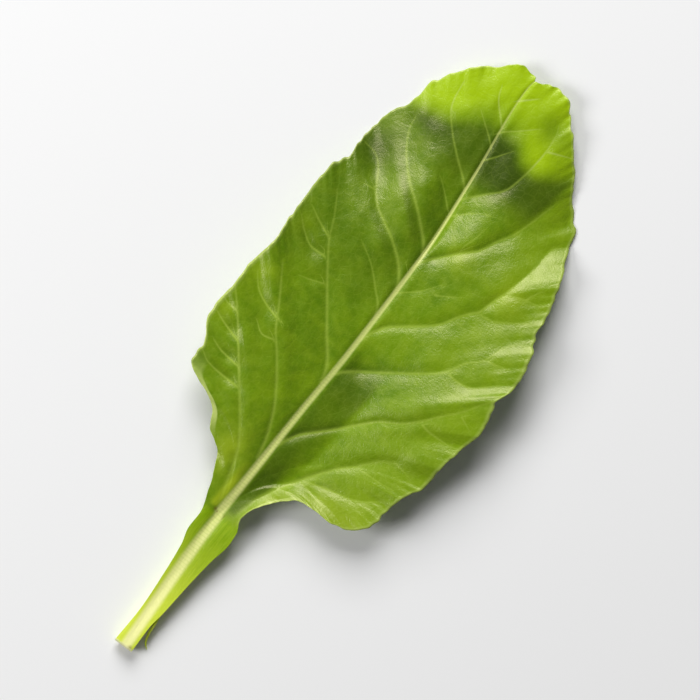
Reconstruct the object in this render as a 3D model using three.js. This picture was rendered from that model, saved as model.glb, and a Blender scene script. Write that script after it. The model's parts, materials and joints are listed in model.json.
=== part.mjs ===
// A picked spinach leaf, laid down with its upper side up. Millimetres, +Z up.
// X runs across the leaf and Y from the cut end of the stalk to the tip. The leaf is one solid: a
// winged stalk that goes on as the midrib, and a thin waved blade that sinks in along its veins.
// The surface is a sheet of rows. Each row starts on the midrib and runs out to the margin, bowed
// towards the tip as the side veins are. The underside is the same sheet, lowered by the thickness.
// The blade is a shallow trough whose margins come down short of the tip, which lifts a little, so the
// leaf rests on the flat underside of the stalk's end and on one low point of the margin on each side.

import * as THREE from 'three';

// Thickness of the blade, and of the stalk and midrib at their middle line
const BLADE_THICKNESS = 0.75;
const RIB_THICKNESS = [[0, 4.3], [16, 4.3], [42, 3.6], [62, 2.9], [100, 2.1], [150, 1.4], [200, 0.8]];

// How far the midrib's thickening spreads, in half widths of the channel
const RIB_SPREAD = 1.15;

// Half width of the channel on the upper side and its depth on each side, all along the leaf
const CHANNEL_HALF_WIDTH = [[0, 2.0], [44, 2.2], [70, 1.9], [120, 1.4], [200, 0.8]];
const LEFT_CHANNEL_DEPTH = [[0, 0.4], [36, 0.5], [48, 1.1], [60, 0.9], [140, 0.8], [200, 0.3]];
const RIGHT_CHANNEL_DEPTH = [
  [0, 0.4], [34, 0.6], [42, 0.9], [52, 0.1], [90, 0.2], [105, 0.7], [140, 0.9], [200, 0.3],
];

// How far each half falls beside the midrib, and over what reach. The right half falls by the lower
// midrib before it rises, and both halves swell, as a negative fall, by the upper midrib.
const LEFT_FALL = [
  [0, 0], [112, 0], [125, -0.8], [140, -4.0], [152, -4.6], [164, -2.8], [178, -0.6], [200, 0],
];
const RIGHT_FALL = [
  [0, 0], [46, 0], [54, 5.0], [72, 7.0], [88, 6.4], [100, 3.4], [112, 0.6], [125, 0], [138, -0.8],
  [149, -2.6], [160, -2.2], [174, 0], [200, 0],
];
const FALL_REACH = 10;

// Middle line of the stalk and midrib: how far it bends to the side, and how high it lies
const MIDRIB_SIDE = [
  [0, 0], [38, -0.9], [56, 0.1], [84, 1.2], [105, 2.3], [140, 2.8], [165, 1.3], [196, -1.4], [200, -0.8],
];
const MIDRIB_HEIGHT = [
  [0, 3.5], [14, 3.5], [42, 5.2], [70, 6.4], [100, 6.6], [125, 6.4], [136, 6.2], [141, 5.4], [149, 3.6],
  [154, 3.0], [160, 2.9], [167, 3.1], [178, 3.6], [190, 4.2], [200, 4.5],
];

// Margin on each side. A key is a row: where it starts on the midrib, its margin point X, Y, and how far
// a wave of the margin lifts or lowers it there.
const LEFT_MARGIN = [
  [0, -3.0, 0, 0], [12, -2.6, 12, 0], [24, -3.0, 24, 0], [33, -3.8, 33.5, 0], [38, -5.0, 39, 0],
  [41, -4.8, 44, 0], [43, -7.2, 51.5, 0], [44.2, -11, 60.6, 0], [45.2, -17, 65.3, 0],
  [46, -21.6, 71.6, 0.3], [46.8, -27.5, 74.2, 0.8], [47.5, -31.8, 77, -0.4], [48.4, -32.9, 84, 0.4],
  [49.3, -36.3, 91, -0.6], [51, -35.5, 101, 0.4], [57, -35.7, 110, -0.4], [67, -33.8, 118.5, 0.5],
  [80, -34.2, 129, -0.5], [94, -33.6, 144, 0.4], [110, -31.2, 151.5, -0.3], [127, -31, 158, 0.2],
  [134, -30, 166, -0.8], [141, -26, 173.6, -0.4], [151, -24, 183, -0.3], [162, -18.5, 190.6, 0.4],
  [176, -12, 196, -0.3], [184, -7.6, 200, 0.3], [192, -4, 200.8, -0.2], [199.3, -1.5, 200.6, 0],
];
const RIGHT_MARGIN = [
  [0, 3.2, 0, 0], [8, 3.1, 8, 0], [16, 3.8, 16, 0], [26, 4.7, 26, 0], [34, 6.2, 35, 0], [38, 7.4, 41.5, 0],
  [40, 7.1, 45.6, 0], [41.5, 5.6, 49.4, 0], [42.6, 8, 55.4, 0], [43.6, 12.3, 60.3, -0.4],
  [44.4, 17, 63.5, 0.2], [45.3, 24, 63.4, 0.4], [46.1, 30, 64.1, -0.4], [47, 35.3, 68, 0.3],
  [48.2, 37.8, 74, -0.5], [49.3, 38.6, 79.4, 0], [51, 42, 87, -0.3], [57, 43.2, 96, 0.4],
  [64, 45.5, 105, -0.4], [69, 46.3, 111, 0.1], [75, 44.4, 118.6, 0.5], [83, 46.2, 125, -0.3],
  [91, 45.3, 133, 0], [99, 42.8, 140, 0.4], [107, 41.4, 149, -0.4], [115, 40, 155.5, 0.3],
  [124, 36.5, 163.5, -1.2], [131, 33, 173, -2.6], [138, 27, 179.6, -1.0], [149, 22, 187, -0.3],
  [159, 16, 194, 0.4], [168, 12.5, 198.4, -0.3], [176, 9.4, 200.5, 0.3], [184, 5.4, 201.5, -0.3],
  [192, 3.2, 200.7, 0.2], [199.3, 1.2, 199.9, 0],
];

// How high the margin lies without its waves, by where the row starts. Both halves of the blade rise
// outwards like a shallow trough, come down to a low point on each side, and rise again at the tip.
const LEFT_LIE = [
  [0, 3.7], [33, 5.2], [41, 6.2], [43, 6.8], [44.2, 7.3], [46, 9.0], [48, 11.0], [51, 12.2], [67, 12.0],
  [80, 10.2], [94, 8.0], [110, 5.8], [122, 3.6], [132, 1.1], [139, 1.1], [149, 2.2], [160, 3.2],
  [175, 4.0], [199.3, 4.5],
];
const RIGHT_LIE = [
  [0, 3.7], [34, 5.4], [41.5, 7.0], [43.6, 7.4], [45.3, 8.2], [49, 9.4], [57, 11.2], [75, 12.8],
  [91, 11.0], [99, 9.0], [107, 7.4], [115, 6.4], [123, 4.6], [129, 2.8], [134, 2.4], [141, 2.6],
  [150, 3.5], [161, 4.0], [199.3, 4.5],
];

// Where the left rows are settled: there a row goes over to the lie of its margin level at both ends.
const LEFT_SETTLE = [[0, 0], [112, 0], [128, 1], [146, 1], [158, 0], [199.3, 0]];

// Bends of the rows in plan: where a row starts on the midrib, and the point X, Y that it bends round.
const LEFT_BEND = [
  [0, -1.5, 0], [38, -2.9, 38.8], [41, -2.5, 43], [43, -2.6, 50], [44.2, -3.0, 57], [45.2, -3.6, 63.5],
  [46, -4.2, 68.5], [47.5, -4.8, 74], [51, -5, 77.5], [67, -6.5, 89], [94, -12, 116], [127, -14, 143.5],
  [141, -11.5, 157], [162, -9.5, 172], [184, -4.5, 192], [199.3, -1.1, 200],
];
const RIGHT_BEND = [
  [0, 1.4, 0], [38, 3.2, 40], [41.5, 1.8, 47.5], [42.6, 2.0, 54], [43.6, 2.6, 60.5], [44.4, 3.3, 66],
  [45.3, 4.2, 71], [46.1, 4.9, 74], [47, 5.4, 76], [51, 6.2, 80], [64, 9, 87.5], [75, 12, 92],
  [99, 14.5, 115.5], [115, 13.5, 132], [138, 13, 153], [159, 9, 172], [176, 4.5, 185.5], [199.3, 0.3, 199.5],
];

// Side veins, branches and creases in plan, outwards. The blade sinks along each by a depth that fades
// over a reach.
const MAIN = { depth: 1.3, reach: 2.0 };
const FAINT = { depth: 0.6, reach: 2.0 };
const BRANCH = { depth: 1.1, reach: 2.0 };
const CREASE = { depth: 2.0, reach: 6 };
const SIDE_VEINS = [
  [MAIN, 0.4, [-1.9, 48.5], [-4.1, 56.3], [-6.6, 64.4], [-14.6, 76.2], [-23.2, 87.4], [-35.1, 102]],
  [BRANCH, 1.8, [-17, 79], [-23.9, 79.2], [-28.6, 79.9], [-31.2, 81.5]],
  [BRANCH, 1.6, [-20.5, 83.8], [-27.1, 84.6], [-31, 86]],
  [BRANCH, 1.9, [-25.1, 89.6], [-31.2, 91.5], [-34.8, 93]],
  [MAIN, 0.5, [-0.9, 66], [-5.1, 79.6], [-14.5, 93.9], [-18.1, 98.3], [-22.3, 105.8], [-28, 115]],
  [BRANCH, 1.5, [-18.9, 101.2], [-24.2, 102.6], [-28.6, 104.7], [-32.4, 108.9]],
  [MAIN, 0.5, [0.9, 94], [-6.5, 106.9], [-17.7, 122.6], [-21.7, 128.9], [-23.5, 133.2], [-27.6, 140.7]],
  [BRANCH, 1.6, [-21.9, 128.7], [-26.7, 130.8], [-30.8, 133.1]],
  [BRANCH, 1.8, [-18.8, 123.6], [-23.7, 123.5], [-28.4, 126], [-32, 129.4]],
  [FAINT, 1.0, [2, 118.5], [-2, 124.3], [-7.9, 129.9], [-13.7, 133.4]],
  [MAIN, 0.7, [2.6, 127], [-1, 133.9], [-7.9, 139.4], [-15.9, 144.1], [-22.5, 153.4], [-29.5, 156.7]],
  [MAIN, 0.6, [2.4, 140.8], [-2.7, 146.8], [-12.8, 155.2], [-17.7, 160.4], [-21.9, 167.9], [-22.4, 171.1]],
  [FAINT, 1.0, [1.2, 162.5], [-6.1, 169], [-11.4, 173.9], [-16, 180.1], [-17.1, 187.3]],
  [CREASE, 0.6, [5, 48], [7, 56], [9.4, 62], [12.3, 76], [14.2, 88], [15.6, 106]],
  [CREASE, 1.15, [4.6, 100.5], [12.7, 106.2], [22, 112.7], [30, 121]],
  [CREASE, 0.4, [6.3, 117.4], [18.3, 127.3], [25.2, 136.3]],
  [CREASE, 0.5, [14, 150], [18, 157], [21, 165], [24, 176]],
  [CREASE, 0.5, [-19, 148], [-24, 154.5], [-31, 157.5]],
  [MAIN, 1.2, [2.4, 44.6], [4.4, 50.6], [8.6, 61.5], [12.7, 68], [19.8, 77.5], [27.8, 85.9], [31.4, 88.2]],
  [BRANCH, 1.0, [12.7, 68], [17, 67], [20.7, 65.8]],
  [BRANCH, 1.0, [14, 68.6], [19.7, 70.4], [28.6, 72.7], [35.7, 77.6]],
  [MAIN, 1.0, [1.8, 72.8], [4.9, 78.5], [13, 86.7], [21, 95], [30.1, 101.8], [37.8, 110.6], [43.2, 118.5]],
  [BRANCH, 1.0, [30.1, 101.8], [34.3, 100.9], [39.6, 101], [44.2, 101.9]],
  [MAIN, 0.6, [2.5, 98], [12.7, 106.2], [27.9, 117.8], [34.7, 126.7], [39, 135.2], [42.8, 137.3]],
  [BRANCH, 1.3, [27.9, 117.8], [31.2, 117.1], [34.5, 117.4], [41.8, 122.8]],
  [MAIN, 0.8, [3, 111], [6.3, 117.4], [18.3, 127.3], [25.2, 136.3], [29.1, 136.7], [37.6, 141.9]],
  [BRANCH, 1.3, [25.2, 136.3], [26.9, 142.1], [28.7, 147.3], [31, 157.1], [31.5, 163.2], [35.1, 166.9]],
  [BRANCH, 0.9, [26.9, 142.1], [28.5, 144.7], [32.2, 146.8], [38.2, 148.3]],
  [MAIN, 1.1, [2.8, 136], [7, 142.6], [15, 151], [20.3, 160.6], [24.5, 174]],
  [FAINT, 1.2, [2, 159.6], [7.6, 165.7], [11.8, 172], [13.6, 185.4], [12.2, 193.1]],
];

// Spacing of the points on a vein. A vein begins with a share of its depth, has all of it after a short
// start, and loses some towards its end. It clears the midrib, and sinks less at the margin.
const VEIN_STEP = 3;
const START_SHARE = 0.4;
const VEIN_START = 5;
const VEIN_FADE = 0.5;
const VEIN_CLEARANCE = 1.8;
const SINK_AT_MARGIN = 0.6;

// How the blade lies between midrib and margin
const LIE_POWER = 1.15;
const WAVE_POWER = 5;
const SHOULDER_RISE = 0.7;
const SHOULDER_REACH = 5;
const BLADE_STARTS = 44;
const BLADE_WHOLE = 62;

// Small ruffles of the margin: height, length along the margin, start, and how close to the margin
const RUFFLES = [
  { height: 0.2, length: 13, start: 0.8, power: 5 },
  { height: 0.14, length: 7.3, start: 2.1, power: 8 },
];

// Mesh: stretches of the midrib as [from, to, steps], and columns from midrib to margin
const STRETCHES = [[0, 38, 11], [38, 42, 3], [42, 50, 19], [50, 194, 48], [194, 199.3, 3]];
const LEFT_COLUMNS = 13;
const RIGHT_COLUMNS = 15;
const COLUMN_CROWDING = 0.1;

const LEAF_GREEN = 0x6f9a1c;

// A smooth curve through [position, value] keys, which never swings past a key.
function through(keys) {
  const last = keys.length - 1;
  const rise = keys.slice(1).map(([x, y], i) => (y - keys[i][1]) / (x - keys[i][0]));
  const slope = keys.map((_, i) => {
    if (i === 0 || i === last) return rise[Math.min(i, last - 1)];
    const [before, after] = [rise[i - 1], rise[i]];
    return before * after <= 0 ? 0 : (2 * before * after) / (before + after);
  });
  return (x) => {
    let i = 0;
    while (i < last - 1 && x > keys[i + 1][0]) i += 1;
    const span = keys[i + 1][0] - keys[i][0];
    const s = THREE.MathUtils.clamp((x - keys[i][0]) / span, 0, 1);
    const [a, b] = [keys[i][1], keys[i + 1][1]];
    return a + (b - a) * s * s * (3 - 2 * s)
      + span * s * (1 - s) * (slope[i] * (1 - s) - slope[i + 1] * s);
  };
}

const ribThickness = through(RIB_THICKNESS);
const channelHalfWidth = through(CHANNEL_HALF_WIDTH);
const midribSide = through(MIDRIB_SIDE);
const midribHeight = through(MIDRIB_HEIGHT);

// A smooth curve through keys that hold a place and then a point of two or three values.
function pointCurve(keys) {
  const axes = keys[0].slice(1).map((_, axis) => through(keys.map((key) => [key[0], key[axis + 1]])));
  return (place) => new THREE.Vector3(...axes.map((axis) => axis(place)));
}

// The two sides of the leaf
const LEFT = {
  margin: pointCurve(LEFT_MARGIN),
  bend: pointCurve(LEFT_BEND),
  lie: through(LEFT_LIE),
  channelDepth: through(LEFT_CHANNEL_DEPTH),
  fall: through(LEFT_FALL),
  settle: through(LEFT_SETTLE),
};
const RIGHT = {
  margin: pointCurve(RIGHT_MARGIN),
  bend: pointCurve(RIGHT_BEND),
  lie: through(RIGHT_LIE),
  channelDepth: through(RIGHT_CHANNEL_DEPTH),
  fall: through(RIGHT_FALL),
  settle: () => 0,
};

// Each vein with the points of its curve, a short step apart.
const veins = SIDE_VEINS.map(([rank, strength, ...corners]) => {
  let place = 0;
  const keys = corners.map(([x, y], i) => {
    if (i > 0) place += Math.hypot(x - corners[i - 1][0], y - corners[i - 1][1]);
    return [place, x, y];
  });
  const curve = pointCurve(keys);
  const steps = Math.ceil(place / VEIN_STEP);
  const points = Array.from({ length: steps + 1 }, (_, i) => curve((place * i) / steps));
  return { depth: strength * rank.depth, reach: rank.reach, length: place, points };
});

// How far the blade sinks at a point: the sinks of near veins are added by their cubes, so that the blade
// is round between them. Each fades with the distance, begins soft and fades towards the vein's end.
function veinSink(x, y) {
  let cubes = 0;
  for (const { depth, reach, length, points } of veins) {
    let nearest = Infinity;
    let reached = 0;
    for (let i = 0; i < points.length - 1; i += 1) {
      const [dx, dy] = [points[i + 1].x - points[i].x, points[i + 1].y - points[i].y];
      const [px, py] = [x - points[i].x, y - points[i].y];
      const s = THREE.MathUtils.clamp((px * dx + py * dy) / (dx * dx + dy * dy), 0, 1);
      const gap = Math.hypot(px - s * dx, py - s * dy);
      if (gap < nearest) {
        nearest = gap;
        reached = (i + s) / (points.length - 1);
      }
    }
    const begun = THREE.MathUtils.smoothstep(reached * length, 0, VEIN_START);
    const fade = (START_SHARE + (1 - START_SHARE) * begun) * (1 - VEIN_FADE * reached ** 2);
    cubes += (depth * fade * Math.exp(-nearest / reach)) ** 3;
  }
  return Math.cbrt(cubes);
}

// Rows of the sheet: their starts on the midrib.
const roots = [
  ...STRETCHES.flatMap(([from, to, steps]) =>
    Array.from({ length: steps }, (_, k) => from + ((to - from) * k) / steps)),
  STRETCHES.at(-1)[1],
];

// Shares of a row's length at which its columns stand, closer together at midrib and margin.
function columnShares(count) {
  return Array.from({ length: count }, (_, i) => {
    const s = (i + 1) / count;
    return s - COLUMN_CROWDING * Math.sin(2 * Math.PI * s) * (1 - 0.6 * s);
  });
}

// Length of one side's margin up to each row.
function marginLengths(margin) {
  let length = 0;
  return roots.map((root, i) => {
    if (i > 0) length += margin(root).distanceTo(margin(roots[i - 1]));
    return length;
  });
}

// A point of the upper side and the height of the underside below it, as [x, y, z, underside]. What
// would reach below the surface that the leaf lies on is pressed flat on it.
function leafPoint(root, side, share, marginLength) {
  const start = new THREE.Vector2(midribSide(root), root);
  const bend = side.bend(root);
  const end = side.margin(root);
  const a = (1 - share) ** 2;
  const b = 2 * share * (1 - share);
  const c = share ** 2;
  const x = a * start.x + b * bend.x + c * end.x;
  const y = a * start.y + b * bend.y + c * end.y;

  const fromMidrib = Math.abs(x - midribSide(y));
  const awayFrom = (reach) => 1 - Math.exp(-((fromMidrib / reach) ** 2));
  const rib = 1 - awayFrom(RIB_SPREAD * channelHalfWidth(y));
  const blade = THREE.MathUtils.smoothstep(y, BLADE_STARTS, BLADE_WHOLE);
  const inside = Math.sin(Math.PI * Math.min(share, 0.999));
  const thickness = BLADE_THICKNESS + (ribThickness(y) - BLADE_THICKNESS) * rib;

  const level = THREE.MathUtils.smoothstep(share, 0, 1);
  const gone = THREE.MathUtils.lerp(share ** LIE_POWER, level, side.settle(root));
  let z = THREE.MathUtils.lerp(midribHeight(root), side.lie(root), gone);
  z += end.z * share ** WAVE_POWER;
  z += side.channelDepth(y) * awayFrom(channelHalfWidth(y)) * (1 - share);
  z -= side.fall(y) * awayFrom(FALL_REACH) * (1 - share);
  z += blade * SHOULDER_RISE * inside * awayFrom(SHOULDER_REACH);
  z -= blade * veinSink(x, y) * awayFrom(VEIN_CLEARANCE) * (1 - SINK_AT_MARGIN * share ** 4);
  for (const { height, length, start: phase, power } of RUFFLES) {
    z += blade * height * share ** power * Math.sin((2 * Math.PI * marginLength) / length + phase);
  }
  return [x, y, Math.max(z, BLADE_THICKNESS), Math.max(z - thickness, 0)];
}

// The whole leaf as one closed mesh: upper side, underside and the narrow face round the margin.
function leafGeometry() {
  const leftLengths = marginLengths(LEFT.margin);
  const rightLengths = marginLengths(RIGHT.margin);
  const leftShares = columnShares(LEFT_COLUMNS).reverse();
  const rightShares = columnShares(RIGHT_COLUMNS);
  const rows = roots.map((root, i) => [
    ...leftShares.map((share) => leafPoint(root, LEFT, share, leftLengths[i])),
    leafPoint(root, RIGHT, 0, 0),
    ...rightShares.map((share) => leafPoint(root, RIGHT, share, rightLengths[i])),
  ]);
  const width = rows[0].length;
  const top = rows.flat();
  const under = top.length;
  const positions = [
    ...top.flatMap(([x, y, z]) => [x, y, z]),
    ...top.flatMap(([x, y, , underside]) => [x, y, underside]),
  ];

  const spread = (i, k) => Math.hypot(...[0, 1, 2].map((axis) => top[i][axis] - top[k][axis]));
  const faces = [];
  for (let row = 0; row < rows.length - 1; row += 1) {
    for (let column = 0; column < width - 1; column += 1) {
      const a = row * width + column;
      const [b, c, d] = [a + 1, a + width + 1, a + width];
      const halves = spread(a, c) < spread(b, d) ? [[a, b, c], [a, c, d]] : [[a, b, d], [b, c, d]];
      for (const [i, j, k] of halves) faces.push(i, j, k, under + i, under + k, under + j);
    }
  }
  const lastRow = (rows.length - 1) * width;
  const rim = [
    ...Array.from({ length: width - 1 }, (_, i) => i),
    ...Array.from({ length: rows.length - 1 }, (_, i) => i * width + width - 1),
    ...Array.from({ length: width - 1 }, (_, i) => lastRow + width - 1 - i),
    ...Array.from({ length: rows.length - 1 }, (_, i) => lastRow - i * width),
  ];
  rim.forEach((a, i) => {
    const b = rim[(i + 1) % rim.length];
    faces.push(a, under + b, b, a, under + a, under + b);
  });

  const geometry = new THREE.BufferGeometry();
  geometry.setAttribute('position', new THREE.Float32BufferAttribute(positions, 3));
  geometry.setIndex(faces);
  geometry.computeBoundingBox();
  const centre = geometry.boundingBox.getCenter(new THREE.Vector3());
  geometry.translate(-centre.x, -centre.y, -geometry.boundingBox.min.z);
  geometry.computeVertexNormals();
  return geometry;
}

const leaf = new THREE.Mesh(
  leafGeometry(),
  new THREE.MeshStandardMaterial({ color: LEAF_GREEN, roughness: 0.5, metalness: 0 }),
);
leaf.name = 'leaf';

const spinachLeaf = new THREE.Group();
spinachLeaf.name = 'spinach_leaf';
spinachLeaf.add(leaf);

export default spinachLeaf;
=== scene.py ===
"""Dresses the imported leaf: a picked spinach leaf that lies with its upper side up.

The leaf is one closed sheet of rows. A row starts on the midrib and runs out to the margin, round a
bend, so the rows lie along the side veins. The forms repeat the driving sizes of the solid, in
millimetres, and are carried into the frame, in metres, by the solid's own box. X runs across the leaf
and Y from the cut end of the stalk to the tip.
"""

from __future__ import annotations

import json
import logging
import math
from dataclasses import dataclass, field
from enum import Enum

import bpy
import numpy as np
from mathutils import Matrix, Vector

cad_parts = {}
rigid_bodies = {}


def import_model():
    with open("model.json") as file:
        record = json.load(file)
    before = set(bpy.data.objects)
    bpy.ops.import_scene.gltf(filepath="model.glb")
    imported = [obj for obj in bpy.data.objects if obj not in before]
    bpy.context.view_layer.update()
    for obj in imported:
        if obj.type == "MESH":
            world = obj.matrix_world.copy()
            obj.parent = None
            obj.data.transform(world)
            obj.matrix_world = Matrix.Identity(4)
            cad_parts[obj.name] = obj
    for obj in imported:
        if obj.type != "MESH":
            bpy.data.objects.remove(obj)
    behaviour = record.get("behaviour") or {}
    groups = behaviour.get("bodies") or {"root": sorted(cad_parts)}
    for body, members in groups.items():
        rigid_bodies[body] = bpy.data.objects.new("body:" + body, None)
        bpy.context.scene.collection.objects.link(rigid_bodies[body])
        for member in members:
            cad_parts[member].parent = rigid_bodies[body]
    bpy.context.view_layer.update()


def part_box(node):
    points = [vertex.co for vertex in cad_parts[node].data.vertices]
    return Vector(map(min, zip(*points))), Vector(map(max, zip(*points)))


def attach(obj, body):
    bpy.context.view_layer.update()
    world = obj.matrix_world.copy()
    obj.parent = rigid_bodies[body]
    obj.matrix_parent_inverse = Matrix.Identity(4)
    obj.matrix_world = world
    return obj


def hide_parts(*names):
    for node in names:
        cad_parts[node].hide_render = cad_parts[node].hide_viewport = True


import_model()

Array = np.ndarray
Point = tuple[float, ...]
Colour = tuple[float, float, float]

MM = 0.001
log = logging.getLogger("spinach_leaf")


def srgb(red: int, green: int, blue: int) -> Colour:
    """Turns a screen colour, 0 to 255, into the linear colour that a shader takes."""
    shares = np.array([red, green, blue]) / 255
    linear = np.where(shares <= 0.04045, shares / 12.92, ((shares + 0.055) / 1.055) ** 2.4)
    return tuple(float(value) for value in linear)


def smoothstep(value: Array, low: float | Array, high: float | Array) -> Array:
    """Rises from 0 at low to 1 at high, level at both ends."""
    share = np.clip((value - low) / (high - low), 0, 1)
    return share * share * (3 - 2 * share)


def bell(value: Array, width: float | Array) -> Array:
    """A hump that is 1 at 0 and falls off over the width on both sides."""
    return np.exp(-((value / width) ** 2))


def soft_noise(x: Array, y: Array, cell: float, seed: int) -> Array:
    """Smooth random heights from -1 to 1.

    Seeded random values stand on a square lattice and are blended between by smooth steps.

    Args:
        x: places across.
        y: places along.
        cell: the spacing of the lattice.
        seed: the start of the random draw.

    Returns:
        The height at each place.
    """
    size = 97
    lattice = np.random.default_rng(seed).uniform(-1, 1, (size, size))
    column, row = np.floor(x / cell).astype(int), np.floor(y / cell).astype(int)
    across, along = smoothstep(x / cell - column, 0, 1), smoothstep(y / cell - row, 0, 1)
    corner = [[lattice[(column + i) % size, (row + j) % size] for j in (0, 1)] for i in (0, 1)]
    near = corner[0][0] * (1 - across) + corner[1][0] * across
    far = corner[0][1] * (1 - across) + corner[1][1] * across
    return near * (1 - along) + far * along


@dataclass(frozen=True)
class Along:
    """Values that change smoothly with a place.

    Each key is a place and then one or more values. Between keys the curve is a cubic whose slope at
    a key is the harmonic mean of the rises on its two sides, or 0 at a peak, so it never swings past
    a key.
    """

    keys: tuple[Point, ...]

    def at(self, place: Array, column: int = 1) -> Array:
        """The value at each place.

        Args:
            place: the places.
            column: which of the keys' values is wanted, counted from 1.

        Returns:
            An array of the values, as long as place.
        """
        table = np.array(self.keys, float)
        x, y = table[:, 0], table[:, column]
        rise = np.diff(y) / np.diff(x)
        before, after = rise[:-1], rise[1:]
        total = np.where(before * after > 0, before + after, 1)
        inner = np.where(before * after > 0, 2 * before * after / total, 0)
        slope = np.concatenate([rise[:1], inner, rise[-1:]])
        i = np.clip(np.searchsorted(x, place, side="left") - 1, 0, len(x) - 2)
        span = x[i + 1] - x[i]
        s = np.clip((place - x[i]) / span, 0, 1)
        lean = slope[i] * (1 - s) - slope[i + 1] * s
        return y[i] + (y[i + 1] - y[i]) * s * s * (3 - 2 * s) + span * s * (1 - s) * lean


@dataclass(frozen=True)
class Ruffle:
    """A small wave of the margin: its height, its length, its start and how close it keeps to it."""

    height: float
    length: float
    start: float
    power: float


@dataclass(frozen=True)
class Bumps:
    """Soft random bumps: their height, the spacing of their lattice and the start of their draw."""

    height: float
    cell: float
    seed: int

    def at(self, x: Array, y: Array) -> Array:
        """Their height at each place."""
        return self.height * soft_noise(x, y, self.cell, self.seed)


@dataclass(frozen=True)
class Patch:
    """A soft place on the blade: its middle, its half widths across and along, and its strength."""

    x: float
    y: float
    across: float
    along: float
    strength: float

    def at(self, x: Array, y: Array) -> Array:
        """Its strength times a bell across and a bell along, at each place."""
        return self.strength * bell(x - self.x, self.across) * bell(y - self.y, self.along)


def patches(places: tuple[Patch, ...], x: Array, y: Array) -> Array:
    """The sum of several patches at each place."""
    return sum(patch.at(x, y) for patch in places)


@dataclass(frozen=True)
class Zone:
    """A stretch with soft ends: it rises from the first place to the second, and falls from the third
    to the fourth."""

    rises: float
    risen: float
    falls: float
    fallen: float

    def at(self, place: Array) -> Array:
        """1 inside the stretch and 0 outside, at each place."""
        return smoothstep(place, self.rises, self.risen) * (1 - smoothstep(place, self.falls, self.fallen))


class Rank(Enum):
    """What a vein is: its sink, the reach of the sink, its half width and how pale its line is."""

    BROAD = (1.3, 2.0, 0.85, 1.1)
    MAIN = (1.3, 2.0, 0.50, 1.0)
    FAINT = (0.6, 2.0, 0.36, 0.8)
    BRANCH = (1.1, 2.0, 0.36, 0.9)
    TWIG = (0.45, 1.4, 0.28, 0.8)
    CREASE = (2.0, 6.0, 0.30, 0.0)


@dataclass(frozen=True)
class Vein:
    """A side vein, branch or crease in plan: a smooth curve through its points, outwards."""

    rank: Rank
    points: tuple[Point, ...]
    strength: float = 1.0

    def line(self) -> Array:
        """Points about a millimetre apart along the curve."""
        corners = np.array(self.points, float)
        chords = np.hypot(*np.diff(corners, axis=0).T)
        place = np.concatenate([[0], np.cumsum(chords)])
        curve = Along(tuple((at, *corner) for at, corner in zip(place, self.points)))
        even = np.linspace(0, place[-1], max(math.ceil(place[-1]), 4) + 1)
        return np.stack([curve.at(even, 1), curve.at(even, 2)], axis=-1)


class Side(Enum):
    """The two halves of the blade, seen from above with the tip away."""

    LEFT = "left"
    RIGHT = "right"


@dataclass(frozen=True)
class Half:
    """One half of the blade: its margin in space, the bends of its rows in plan, and its lie.

    Where a row is settled, it goes over to the lie of its margin level at both ends.
    """

    margin: Along
    bend: Along
    lie: Along
    channel_depth: Along
    fall: Along
    settle: Along


LEFT_HALF = Half(
    margin=Along((
        (0, -2.9, 0, 0), (12, -2.3, 12, 0), (24, -2.9, 24, 0), (33, -3.8, 33.5, 0), (38, -5.0, 39, 0),
        (41, -4.8, 44, 0), (43, -7.2, 51.5, 0), (44.2, -11, 60.6, 0), (45.2, -17, 65.3, 0),
        (46, -21.6, 71.6, 0.3), (46.8, -27.5, 74.2, 0.8), (47.5, -31.8, 77, -0.4), (48.4, -32.9, 84, 0.4),
        (49.3, -36.3, 91, -0.6), (51, -35.5, 101, 0.4), (57, -35.7, 110, -0.4), (67, -33.8, 118.5, 0.5),
        (80, -34.2, 129, -0.5), (94, -33.6, 144, 0.4), (110, -31.2, 151.5, -0.3), (127, -31, 158, 0.2),
        (134, -30, 166, -0.8), (141, -26, 173.6, -0.4), (151, -24, 183, -0.3), (162, -18.5, 190.6, 0.4),
        (176, -12, 196, -0.3), (184, -7.6, 200, 0.3), (192, -4, 200.8, -0.2), (199.3, -1.5, 200.6, 0),
    )),
    bend=Along((
        (0, -1.5, 0), (38, -2.9, 38.8), (41, -2.5, 43), (43, -2.6, 50), (44.2, -3.0, 57),
        (45.2, -3.6, 63.5), (46, -4.2, 68.5), (47.5, -4.8, 74), (51, -5, 77.5), (67, -6.5, 89),
        (94, -12, 116), (127, -14, 143.5), (141, -11.5, 157), (162, -9.5, 172), (184, -4.5, 192),
        (199.3, -1.1, 200),
    )),
    lie=Along((
        (0, 3.0), (25, 4.0), (35, 5.2), (41, 6.2), (43, 6.8), (44.2, 7.3), (46, 9.0), (48, 11.0),
        (51, 12.2), (67, 12.0), (80, 10.2), (94, 8.0), (110, 5.8), (122, 3.6), (132, 1.1), (139, 1.1),
        (149, 2.2), (160, 3.2), (175, 4.0), (199.3, 4.5),
    )),
    channel_depth=Along(((0, 0.1), (28, 0.2), (38, 0.6), (48, 1.1), (60, 0.9), (140, 0.8), (200, 0.3))),
    fall=Along((
        (0, 0), (112, 0), (125, -0.8), (140, -4.0), (152, -4.6), (164, -2.8), (178, -0.6), (200, 0),
    )),
    settle=Along(((0, 0), (112, 0), (128, 1), (146, 1), (158, 0), (199.3, 0))),
)
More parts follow.
